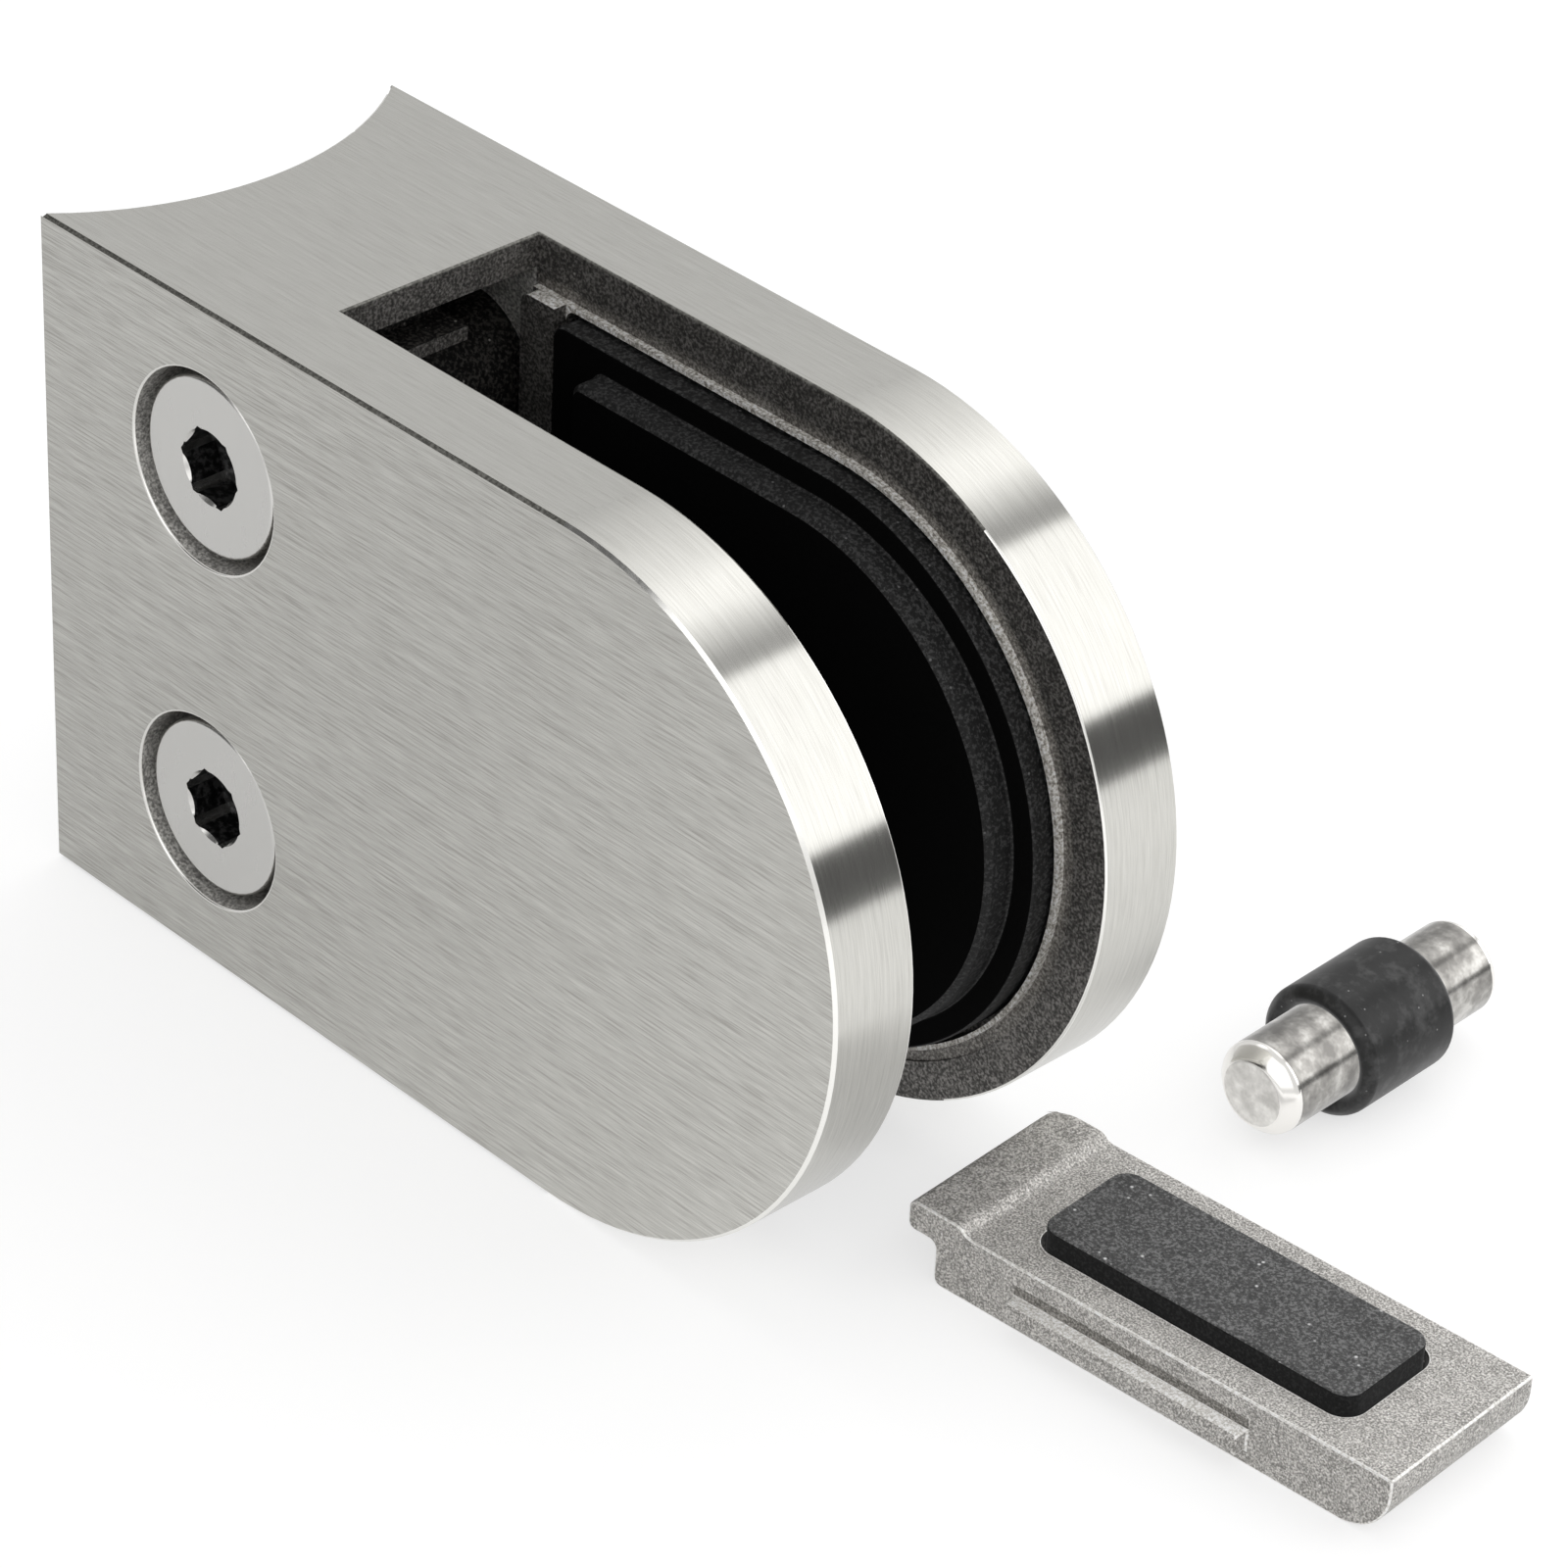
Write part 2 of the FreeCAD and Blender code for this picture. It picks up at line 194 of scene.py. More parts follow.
def grain_finish(name, stops, grain_mm, metallic, roughness, bump_mm, speck=None, shine=0.5):
    """A rough cast, blasted or moulded skin: grains of one size, in patches a little paler or
    darker. speck gives the size, share and colour of painted glints: pale specks that stand
    for dents catching light."""
    material, tree, output = new_material(name)
    place = add(tree, "ShaderNodeTexCoord").outputs["Object"]
    grain = add(tree, "ShaderNodeTexNoise", {
        "Vector": place, "Scale": 1 / (grain_mm * MM), "Detail": 3.0, "Roughness": 0.65})
    patch_mm = grain_mm * 9
    patch = add(tree, "ShaderNodeTexNoise", {
        "Vector": place, "Scale": 1 / (patch_mm * MM), "Detail": 2.0})
    shift = add(tree, "ShaderNodeMapRange", {
        "Value": patch.outputs["Fac"], "From Min": 0.3, "From Max": 0.7,
        "To Min": -0.025, "To Max": 0.025})
    tone = add(tree, "ShaderNodeMath", {0: grain.outputs["Fac"], 1: shift.outputs["Result"]},
               operation="ADD")
    colour = ramp(tree, tone.outputs[0], stops)
    # The specks are painted glints
    if speck:
        speck_mm, speck_share, speck_code = speck
        cells = add(tree, "ShaderNodeTexVoronoi", {
            "Vector": place, "Scale": 1 / (speck_mm * MM), "Randomness": 1.0})
        glint = add(tree, "ShaderNodeMapRange", {
            "Value": cells.outputs["Distance"], "From Min": 0.22, "From Max": 0.08})
        chance = add(tree, "ShaderNodeMath", {
            0: add(tree, "ShaderNodeSeparateColor", {"Color": cells.outputs["Color"]}).outputs[0],
            1: speck_share}, operation="LESS_THAN")
        share = add(tree, "ShaderNodeMath", {0: glint.outputs["Result"], 1: chance.outputs[0]},
                    operation="MULTIPLY")
        mix = add(tree, "ShaderNodeMix", {
            0: share.outputs[0], 6: colour, 7: linear(speck_code)}, data_type="RGBA")
        colour = mix.outputs[2]
    bump = add(tree, "ShaderNodeBump", {
        "Height": grain.outputs["Fac"], "Strength": 0.6, "Distance": bump_mm * MM})
    shader = add(tree, "ShaderNodeBsdfPrincipled", {
        "Base Color": colour, "Metallic": metallic, "Roughness": roughness,
        "Specular IOR Level": shine, "Normal": bump.outputs["Normal"]})
    tree.links.new(shader.outputs["BSDF"], output.inputs["Surface"])
    return material


def smooth_steel(name, code, roughness, line_mm, line_axis):
    """Bright turned or headed steel: smooth, with faint tool lines across one axis."""
    material, tree, output = new_material(name)
    place = add(tree, "ShaderNodeTexCoord").outputs["Object"]
    mark_length_mm = 3
    scale = [1 / (mark_length_mm * MM)] * 3
    scale[line_axis] = 1 / (line_mm * MM)
    stretched = add(tree, "ShaderNodeMapping", {"Vector": place, "Scale": scale})
    marks = add(tree, "ShaderNodeTexNoise", {
        "Vector": stretched.outputs["Vector"], "Scale": 1.0, "Detail": 2.0})
    rough = add(tree, "ShaderNodeMapRange", {
        "Value": marks.outputs["Fac"], "From Min": 0.3, "From Max": 0.7,
        "To Min": roughness * 0.8, "To Max": roughness * 1.3})
    bump = add(tree, "ShaderNodeBump", {
        "Height": marks.outputs["Fac"], "Strength": 0.3, "Distance": 0.003 * MM})
    shader = add(tree, "ShaderNodeBsdfPrincipled", {
        "Base Color": linear(code), "Metallic": 1.0, "Roughness": rough.outputs["Result"],
        "Normal": bump.outputs["Normal"]})
    tree.links.new(shader.outputs["BSDF"], output.inputs["Surface"])
    return material


brushed_cheek = brushed_stainless("brushed_cheek", depth=0.85)
brushed_rim = brushed_stainless("brushed_rim", depth=0.35)
# Edges broken with a file: a bright hairline, its pale colour a painted highlight along the edge
filed_edge_highlight = smooth_steel("filed_edge_highlight", "EDECE8", roughness=0.2, line_mm=0.6, line_axis=0)
# The straight edges' break lies along the brush lines and looks into the dark: a thin dark line,
# painted dark grey for the dark it mirrors
dark_edge_paint = grain_finish("edge_break_painted_dark",
                         [(0.38, "4C4B47"), (0.5, "64635E"), (0.62, "7E7D78")],
                         grain_mm=0.2, metallic=0.5, roughness=0.5, bump_mm=0.01)
# Cast skin that was left rough inside the slot: dull, with fine grains, painted dark grey as the
# shade inside the slot
raw_skin_painted_shade = grain_finish("raw_stainless_casting_painted_shade",
                        [(0.38, "434240"), (0.5, "676562"), (0.62, "9A9794")],
                        grain_mm=0.2, metallic=0.75, roughness=0.5, bump_mm=0.04,
                        speck=(0.5, 0.08, "C8C6C2"))
# The same skin on the rim's low step, a little paler, also painted dark as the shade in the slot
rim_step_painted_shade = grain_finish("rim_step_casting_painted_shade",
                           [(0.38, "524F4C"), (0.5, "787571"), (0.62, "A6A39E")],
                           grain_mm=0.2, metallic=0.7, roughness=0.45, bump_mm=0.04)
# A cast ridge, painted pale up to white as a highlight along it
ridge_highlight = grain_finish("cast_ridge_painted_highlight",
                          [(0.36, "8B877F"), (0.5, "D9D5CE"), (0.62, "FFFFFF")],
                          grain_mm=0.2, metallic=0.3, roughness=0.4, bump_mm=0.04)
# Cast skin deep in the web and in the plate's pad pocket, where no tool reaches: painted nearly
# black as the shade in these hollows, with a few painted glints
hollow_painted_shade = grain_finish("casting_hollow_painted_shade",
                         [(0.42, "040404"), (0.5, "121110"), (0.60, "403E3B")],
                         grain_mm=0.25, metallic=0.3, roughness=0.7, bump_mm=0.06,
                         speck=(0.5, 0.08, "9A9792"), shine=0.2)
# Walls of the counterbores and the faces where the halves meet, milled and blasted: even grey
bored_cast = grain_finish("milled_casting",
                          [(0.38, "7A7875"), (0.5, "A8A6A2"), (0.62, "D8D6D2")],
                          grain_mm=0.2, metallic=0.3, roughness=0.5, bump_mm=0.03)
# Glass bead blasted casting: pale grey, with painted glints where its small dents sparkle
plate_cast = grain_finish("blasted_casting",
                          [(0.39, "7F7D79"), (0.5, "AEABA7"), (0.61, "E2DFDB")],
                          grain_mm=0.13, metallic=0.3, roughness=0.5, bump_mm=0.045,
                          speck=(0.28, 0.12, "FFFFFF"))
# The top of its rib, painted bright as a highlight, and the corner above it, painted dark as shade
rib_top_highlight = grain_finish("blasted_casting_painted_highlight",
                        [(0.39, "C2BFBA"), (0.5, "E6E3DE"), (0.61, "FFFFFF")],
                        grain_mm=0.13, metallic=0.3, roughness=0.45, bump_mm=0.04)
above_rib_shade = grain_finish("blasted_casting_painted_shade",
                          [(0.39, "56544F"), (0.5, "787570"), (0.61, "A29F9A")],
                          grain_mm=0.13, metallic=0.4, roughness=0.6, bump_mm=0.04)
# Worn edges of the plate: paler from wear, and painted paler still as a highlight along them
plate_rim_highlight = grain_finish("worn_and_lit_plate_rim",
                          [(0.36, "C8C5C0"), (0.5, "F0EEEA"), (0.64, "FFFFFF")],
                          grain_mm=0.2, metallic=0.4, roughness=0.35, bump_mm=0.02)
# EPDM rubber: the walls keep the mould's grain; the faces across the slot are matt, painted near
# black as the shade in the slot
mould_grain = grain_finish("moulded_rubber",
                           [(0.40, "050505"), (0.5, "101010"), (0.60, "383838")],
                           grain_mm=0.22, metallic=0.0, roughness=0.6, bump_mm=0.04,
                           speck=(0.5, 0.05, "6A6A6A"), shine=0.3)
gasket_face_shade = grain_finish("rubber_face_painted_shade",
                           [(0.35, "020202"), (0.7, "050505")],
                           grain_mm=0.25, metallic=0.0, roughness=0.9, bump_mm=0.01, shine=0.08)
sleeve_rubber = grain_finish("extruded_rubber",
                             [(0.28, "040404"), (0.5, "131313"), (0.76, "444444")],
                             grain_mm=1.2, metallic=0.0, roughness=0.38, bump_mm=0.02,
                             speck=(0.35, 0.06, "8A8A8A"), shine=0.36)
# The cut pad, one rubber: its top painted lighter for the light on it, its sides painted darker as
# shade
pad_top_light = grain_finish("cut_rubber_pad_painted_light",
                       [(0.38, "303030"), (0.5, "484848"), (0.62, "727272")],
                       grain_mm=0.18, metallic=0.0, roughness=0.7, bump_mm=0.03,
                       speck=(0.6, 0.12, "D8D8D8"))
pad_side_shade = grain_finish("cut_pad_painted_shade",
                        [(0.40, "060606"), (0.5, "0E0E0E"), (0.60, "222222")],
                        grain_mm=0.2, metallic=0.0, roughness=0.8, bump_mm=0.03, shine=0.2)
headed_steel = smooth_steel("headed_screw_steel", "D6D5D2", roughness=0.22, line_mm=0.6, line_axis=0)
# Drawn bar with handling marks: mottled grey; its faced ends are paler machined steel, painted
# paler still as sheen, and the chamfers painted bright as a highlight
drawn_steel = grain_finish("drawn_pin_steel",
                           [(0.34, "7E7C79"), (0.5, "9E9C98"), (0.66, "C6C4C0")],
                           grain_mm=1.6, metallic=1.0, roughness=0.22, bump_mm=0.003)
faced_end_sheen = grain_finish("faced_pin_end_painted_sheen",
                           [(0.34, "BEBCB8"), (0.5, "D2D0CC"), (0.66, "E8E6E2")],
                           grain_mm=1.2, metallic=1.0, roughness=0.3, bump_mm=0.003)
chamfer_highlight = smooth_steel("turned_pin_chamfer_painted_highlight", "F0EEEA", roughness=0.15, line_mm=0.4, line_axis=0)
# Inside of the hexagon socket: punched steel, painted dark as the shade deep in the socket
socket_shade = grain_finish("punched_socket_painted_shade",
                            [(0.40, "0C0C0C"), (0.5, "222222"), (0.60, "4C4C4C")],
                            grain_mm=0.5, metallic=0.7, roughness=0.4, bump_mm=0.04)


# Mesh tools

def finish_piece(name, bm, body, materials, replaces=()):
    """Makes the object, says what it rides on, hides the nodes that it replaces, and shades it."""
    bm.normal_update()
    for face in bm.faces:
        face.smooth = True
    for edge in bm.edges:
        edge.smooth = len(edge.link_faces) == 2 and edge.calc_face_angle(0) < SMOOTH_ANGLE
    mesh = bpy.data.meshes.new(name)
    bm.to_mesh(mesh)
    bm.free()
    piece = bpy.data.objects.new(name, mesh)
    bpy.context.scene.collection.objects.link(piece)
    for material in materials:
        mesh.materials.append(material)
    weighted = piece.modifiers.new("flat_faces", "WEIGHTED_NORMAL")
    weighted.keep_sharp = True
    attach(piece, body)
    if replaces:
        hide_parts(*replaces)
    return piece


def merged_copy(node):
    """A copy of a node's mesh with its triangles joined into flat faces."""
    bm = bmesh.new()
    bm.from_mesh(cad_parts[node].data)
    bmesh.ops.remove_doubles(bm, verts=bm.verts, dist=2 * ROUND)
    bmesh.ops.dissolve_limit(bm, angle_limit=FLAT_ANGLE, verts=bm.verts, edges=bm.edges)
    return bm


def near(a, b, tolerance=CLOSE):
    return abs(a - b) < tolerance


def soften(bm, wanted, width, sharper_than=50, segments=3):
    """Rounds off the edges that turn by more than some degrees and that wanted picks."""
    limit = math.radians(sharper_than)
    edges = [edge for edge in bm.edges
             if len(edge.link_faces) == 2 and edge.calc_face_angle(0) > limit and wanted(edge)]
    made = bmesh.ops.bevel(bm, geom=edges, offset=width, offset_type="OFFSET", segments=segments,
                           profile=0.5, affect="EDGES", clamp_overlap=False, material=-1)
    return made["faces"]


def any_edge(edge):
    return True


def softened_copy(node, name, body, materials, width, sharper_than=50, facing=None):
    """A node's own shape with its edges rounded off; facing gives a face its material."""
    bm = merged_copy(node)
    soften(bm, any_edge, width, sharper_than)
    if facing:
        bm.normal_update()
        for face in bm.faces:
            face.material_index = facing(face)
    return finish_piece(name, bm, body, materials, [node])


# Castings

def lay_grain(bm):
    """Writes the grain map: its first axis runs along the brush lines, in metres."""
    layer = bm.loops.layers.uv.new("grain")
    for face in bm.faces:
        normal = face.normal
        middle = face.calc_center_median()
        for loop in face.loops:
            place = loop.vert.co
            if abs(normal.y) > FACING:
                along, across = place.x, place.z
            elif middle.x > arc_x:
                turn = math.atan2(place.x - arc_x, place.z - end_radius)
                along, across = arc_x + end_radius * turn, place.y
            else:
                along, across = place.x + place.z, place.y
            loop[layer].uv = (along, across)


def on_outline(place):
    """True on the clamp's own outline, seen from the front, past the slot's end."""
    if place.x < slot_x - edge_run_out * 1.5:
        return False
    if place.x > arc_x:
        return near(math.hypot(place.x - arc_x, place.z - end_radius), end_radius,
                    CLOSE_ON_CURVE)
    return near(place.z, 0) or near(place.z, height)


def on_saddle(place):
    return near(math.hypot(place.x + post_radius, place.y), post_radius, CLOSE_ON_CURVE)


def draw_in_edge_break(bm):
    """Narrows the break round the front and back outlines to the real one's width."""
    spare = chamfer - fine_chamfer
    for vert in bm.verts:
        place = vert.co
        depth = min(place.y - front_y, back_y - place.y)
        toward_face = -1 if place.y < split_y else 1
        if place.x > arc_x:
            outward = Vector((place.x - arc_x, 0, place.z - end_radius))
            inside = end_radius - outward.length
            outward.normalize()
        else:
            outward = Vector((0, 0, 1 if place.z > end_radius else -1))
            inside = min(place.z, height - place.z)
        if near(depth, 0) and near(inside, chamfer, CLOSE_ON_CURVE):
            vert.co = place + outward * spare
        elif near(depth, chamfer) and near(inside, 0, CLOSE_ON_CURVE):
            vert.co = place + Vector((0, toward_face * spare, 0))


def casting_edge(edge):
    """The casting's edges that a file has broken: round the cheeks, the slot and the saddle."""
    first, second = (vert.co for vert in edge.verts)
    middle = (first + second) / 2
    if on_outline(first) and on_outline(second):
        return near(middle.y, inner_front_y) or near(middle.y, split_y) or near(middle.x, slot_x)
    if on_saddle(first) and on_saddle(second):
        return front_y + chamfer < middle.y < back_y - chamfer and not near(middle.y, split_y)
    if near(middle.y, front_y) and near(first.y, second.y):
        for z in screw_heights.values():
            reach = math.hypot(middle.x - screw_x, middle.z - z)
            if near(reach, counterbore_radius, 0.1 * MM):
                return True
    return False


def seam_corner(edge):
    """The upright edge where the split between the halves meets the saddle."""
    first, second = (vert.co for vert in edge.verts)
    return all(on_saddle(place) and near(place.y, split_y) for place in (first, second))


def on_dark_slot_rim(face):
    """The slot's upper and lower rims, up to where the round end turns into the light."""
    middle = face.calc_center_median()
    if middle.x > arc_x:
        turn = math.atan2(middle.x - arc_x, abs(middle.z - end_radius))
        return turn < dark_rim_turn
    return middle.x > slot_x - chamfer and min(middle.z, height - middle.z) < chamfer


BRUSHED_CHEEK, BRUSHED_RIM, RAW, RIM_STEP, RIDGE, DEEP_SHADE, BORED, FILED_HIGHLIGHT, PAINTED_DARK_EDGE = range(9)


def casting_finish(face):
    """Which of the casting's materials a face gets."""
    middle = face.calc_center_median()
    for z in screw_heights.values():
        reach = math.hypot(middle.x - screw_x, middle.z - z)
        if reach < counterbore_radius + CLOSE and front_y < middle.y < inner_front_y:
            return BORED
    depth = min(middle.y - front_y, back_y - middle.y)
    # Edge breaks: round the end filed steel with a painted highlight, along the straight outline
    # painted dark for the dark they mirror
    if BREAK_LEAN[0] < abs(face.normal.y) < BREAK_LEAN[1] and depth < chamfer:
        return FILED_HIGHLIGHT if middle.x > arc_x else PAINTED_DARK_EDGE
    if near(middle.y, split_y) and abs(face.normal.y) > SQUARE and middle.x < slot_x:
        return BORED
    proud = min(middle.y - inner_front_y, split_y - middle.y)
    outside = (min(middle.z, height - middle.z) < outside_skin
               or middle.x < saddle_skin)
    if middle.x > arc_x:
        reach = math.hypot(middle.x - arc_x, middle.z - end_radius)
        outside = reach > end_radius - outside_skin
    if outside or proud < -cheek_inside:
        return BRUSHED_CHEEK if abs(face.normal.y) > FACING else BRUSHED_RIM
    # Faces deep in the web get the painted shade of the hollow
    if middle.x < slot_x - edge_run_out:
        return DEEP_SHADE
    # The ridge gets a painted highlight
    if middle.x > recess_x and CLOSE < proud < ridge_proud + CLOSE:
        return RIDGE
    if near(min(middle.z, height - middle.z), ridge_margin) and abs(face.normal.z) > 0.7:
        return RIDGE
    # The rim's low step: a little paler, with the slot's painted shade
    if near(proud, -rim_step_depth) and abs(face.normal.y) > SQUARE:
        return RIM_STEP
    # The rest inside the slot: raw cast skin painted dark as shade
    return RAW


def casting(node, name, body, cuts):
    """The clamp's body or cover, with brushed outside faces and raw cast inside ones."""
    bm = merged_copy(node)
    draw_in_edge_break(bm)
    for x in cuts:
        bmesh.ops.bisect_plane(bm, geom=bm.verts[:] + bm.edges[:] + bm.faces[:], dist=ROUND,
                               plane_co=(x, 0, 0), plane_no=(1, 0, 0))
    soften(bm, seam_corner, seam_round, sharper_than=60)
    filed = soften(bm, casting_edge, filed_width, sharper_than=60)
    bm.normal_update()
    for face in bm.faces:
        face.material_index = casting_finish(face)
    # The softened edges: painted dark on the slot's dark rims, a painted bright hairline elsewhere
    for face in filed:
        face.material_index = PAINTED_DARK_EDGE if on_dark_slot_rim(face) else FILED_HIGHLIGHT
    lay_grain(bm)
    return finish_piece(name, bm, body,
                        [brushed_cheek, brushed_rim, raw_skin_painted_shade, rim_step_painted_shade, ridge_highlight, hollow_painted_shade,
                         bored_cast, filed_edge_highlight, dark_edge_paint], [node])


# Screws

def grow_rings(bm, centre, rings, first_turn, segments=48):
    """A round shape about Y, grown ring by ring; radius and height may depend on the turn."""
    start = bmesh.ops.create_circle(bm, cap_ends=True, segments=segments, radius=1.0)
    verts = start["verts"]
    turns = [math.atan2(vert.co.x, vert.co.y) + first_turn for vert in verts]
    edges = list({edge for vert in verts for edge in vert.link_edges})
    for index, (radius, y) in enumerate(rings):
        if index:
            grown = bmesh.ops.extrude_edge_only(bm, edges=edges)["geom"]
            verts = [item for item in grown if isinstance(item, bmesh.types.BMVert)]
            edges = [edge for edge in grown if isinstance(edge, bmesh.types.BMEdge)
                     and all(vert in verts for vert in edge.verts)]
            turns = [math.atan2(vert.co.x - centre.x, vert.co.z - centre.z) for vert in verts]
        for vert, turn in zip(verts, turns):
            reach = radius(turn) if callable(radius) else radius
            at = y(turn) if callable(y) else y
            vert.co = (centre.x + reach * math.sin(turn), at, centre.z + reach * math.cos(turn))
    bmesh.ops.contextual_create(bm, geom=edges)


def thread(bm, centre, low_y, high_y, radius, pitch, depth):
    """A closed helical ridge round a screw's shank."""
    steps = 32
    foot_share = 0.44
    crest_share = 0.07
    half = pitch * foot_share
    crest = pitch * crest_share
    corners = [(radius - depth, -half), (radius, -crest), (radius, crest), (radius - depth, half)]
    verts = [bm.verts.new((centre.x, low_y + half + along, centre.z + reach))
             for reach, along in corners]
    end = bm.faces.new(verts)
    turns = (high_y - low_y - 2 * half) / pitch
    count = round(turns * steps)
    bmesh.ops.spin(bm, geom=[end], cent=centre, axis=(0, 1, 0), angle=count / steps * math.tau,
                   steps=count, dvec=(0, pitch / steps, 0), use_duplicate=False)


HEADED, SOCKET_SHADE = range(2)


def screw(node):
    """A low-head screw: a punched hexagon socket in a flat bright head, and a rolled thread."""
    low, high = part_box(node)
    centre = Vector(((low.x + high.x) / 2, 0, (low.z + high.z) / 2))
    head_radius = (high.x - low.x) / 2
    top = low.y
    apothem = 2.25 * MM
    lead_radius = 2.45 * MM
    lead_depth = 0.02 * MM
    floor = top + 2.4 * MM
    drill_point = 1.2 * MM
    drill_tip_radius = 0.2 * MM
    floor_share = 0.97
    seat = top + 4.0 * MM
    core_radius = 2.45 * MM
    tip_chamfer = 0.6 * MM
    rim_round = 0.3 * MM
    unshaded_depth = 0.15 * MM
    thread_start = seat + 0.8 * MM
    thread_end = high.y - 0.4 * MM
    thread_radius = 2.95 * MM
    thread_pitch = 1.0 * MM
    thread_depth = 0.54 * MM
    turned = math.radians({"lower_screw": 42, "upper_screw": 36}[node])

    def hexagon(turn):
        """How far the socket's wall is from the middle."""
        third = math.pi / 3
        return apothem / math.cos((turn - turned) % third - third / 2)

    def lead(turn):
        """The round lead of the socket, which the hexagon's corners reach past."""
        return max(lead_radius, hexagon(turn))

    def scallop(turn):
        """How deep the socket's round lead cuts its wall."""
        return top + lead_depth + max(0, lead_radius - hexagon(turn))

    bm = bmesh.new()
    grow_rings(bm, centre, [
        (drill_tip_radius, floor + drill_point), (apothem * floor_share, floor), (hexagon, floor),
        (hexagon, scallop), (lead, top), (head_radius, top), (head_radius, seat),
        (core_radius, seat), (core_radius, high.y - tip_chamfer),
        (core_radius - tip_chamfer, high.y)], turned)

    def head_rim(edge):
        return all(near(math.hypot(vert.co.x - centre.x, vert.co.z - centre.z), head_radius)
                   and near(vert.co.y, top) for vert in edge.verts)

    soften(bm, head_rim, rim_round)
    thread(bm, centre, thread_start, thread_end, thread_radius, thread_pitch, thread_depth)
    bmesh.ops.recalc_face_normals(bm, faces=bm.faces)
    for face in bm.faces:
        middle = face.calc_center_median()
        reach = math.hypot(middle.x - centre.x, middle.z - centre.z)
        # Faces deeper in the socket get the painted shade
        if reach < lead_radius and top + unshaded_depth < middle.y < seat:
            face.material_index = SOCKET_SHADE
    finish_piece(node + "_dressed", bm, node, [headed_steel, socket_shade], [node])


# Pieces

GRAINED, SHADED_FACE = range(2)
PAD_TOP, PAD_SIDE = range(2)
DRAWN, TURNED_HIGHLIGHT, FACED_SHEEN = range(3)
CAST, WORN_HIGHLIGHT, RIB_HIGHLIGHT, POCKET_SHADE, ABOVE_RIB_SHADE = range(5)


def rubber_face(face):
    """The faces across the slot are matt and painted near black as shade, the walls keep the mould's
    grain.
    """
    return SHADED_FACE if abs(face.normal.y) > 0.8 else GRAINED


def pad_face(face):
    # The top is painted lighter for the light on it, the sides darker as shade
    return PAD_TOP if face.normal.z > 0.5 else PAD_SIDE


def turned_pin(node):
    """The safety pin: drawn bar, faced and chamfered at both ends."""
    low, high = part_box(node)
    centre = (low + high) / 2
    radius = (high.z - low.z) / 2
    half = pin_length / 2
    bm = bmesh.new()
    grow_rings(bm, Vector((0, 0, 0)), [
        (radius - pin_chamfer, -half), (radius, pin_chamfer - half),
        (radius, half - pin_chamfer), (radius - pin_chamfer, half)], 0.0)
    soften(bm, any_edge, pin_round, sharper_than=25)
    bmesh.ops.recalc_face_normals(bm, faces=bm.faces)
    for face in bm.faces:
        steepness = abs(face.normal.y)
        # The faced ends get a painted sheen, the chamfers a painted highlight
        if steepness > 0.98:
            face.material_index = FACED_SHEEN
        elif steepness > 0.1:
            face.material_index = TURNED_HIGHLIGHT
        else:
            face.material_index = DRAWN
    bmesh.ops.rotate(bm, verts=bm.verts, matrix=Matrix.Rotation(pin_turn, 3, "Z"))
    bmesh.ops.translate(bm, verts=bm.verts, vec=centre)
    finish_piece(node + "_turned", bm, "clamp",
                 [drawn_steel, chamfer_highlight, faced_end_sheen], [node])


def cast_plate(node):
    """The safety plate: its hook's far corner rounded, its edges worn and painted paler as a
    highlight, its rib's top painted bright, and the wall above the rib and its pad's pocket painted
    dark as shade.
    """
    along = Vector((math.cos(plate_turn), math.sin(plate_turn), 0))
    across = Vector((-math.sin(plate_turn), math.cos(plate_turn), 0))
    bm = merged_copy(node)
    corner_steps = [math.radians(angle) for angle in (15, 30, 45, 60, 75, 90)]
    cuts = [(along, plate_corner * (1 - math.cos(step))) for step in corner_steps]
    cuts += [(across, plate_width - plate_corner * math.cos(step)) for step in corner_steps]
    cuts += [(along, reach) for reach in rib_ends] + [(Vector((0, 0, 1)), shade_top)]
    for normal, reach in cuts:
        bmesh.ops.bisect_plane(bm, geom=bm.verts[:] + bm.edges[:] + bm.faces[:], dist=ROUND,
                               plane_co=plate_tip + normal * reach, plane_no=normal)
    for vert in bm.verts:
        place = vert.co - plate_tip
        off = Vector((place.dot(along) - plate_corner,
                      place.dot(across) - plate_width + plate_corner))
        if off.x < 0 < off.y and off.length > plate_corner:
            pull = off * (plate_corner / off.length - 1)
            vert.co += along * pull.x + across * pull.y
    worn = soften(bm, any_edge, worn_width, sharper_than=60)
    for face in worn:
        face.material_index = WORN_HIGHLIGHT
    bm.normal_update()
    for face in bm.faces:
        middle = face.calc_center_median()
        reach = (middle - plate_tip).dot(along)
        side = (middle - plate_tip).dot(across)
        # The rib's top is painted bright as a highlight
        if face.normal.z > SQUARE and near(middle.z, rib_top, 0.1 * MM):
            face.material_index = RIB_HIGHLIGHT
        # The pad's pocket is painted nearly black as the shade in its gap
        elif (pocket_ends[0] < reach < pocket_ends[1]
              and pocket_sides[0] < side < pocket_sides[1]
              and pocket_heights[0] < middle.z < pocket_heights[1]):
            face.material_index = POCKET_SHADE
        # The wall just above the rib is painted dark as shade
        elif (abs(face.normal.dot(across)) > SQUARE and rib_top < middle.z < shade_top
              and rib_ends[0] < reach < rib_ends[1]):
            face.material_index = ABOVE_RIB_SHADE
    finish_piece(node + "_cast", bm, "clamp",
                 [plate_cast, plate_rim_highlight, rib_top_highlight, hollow_painted_shade, above_rib_shade], [node])


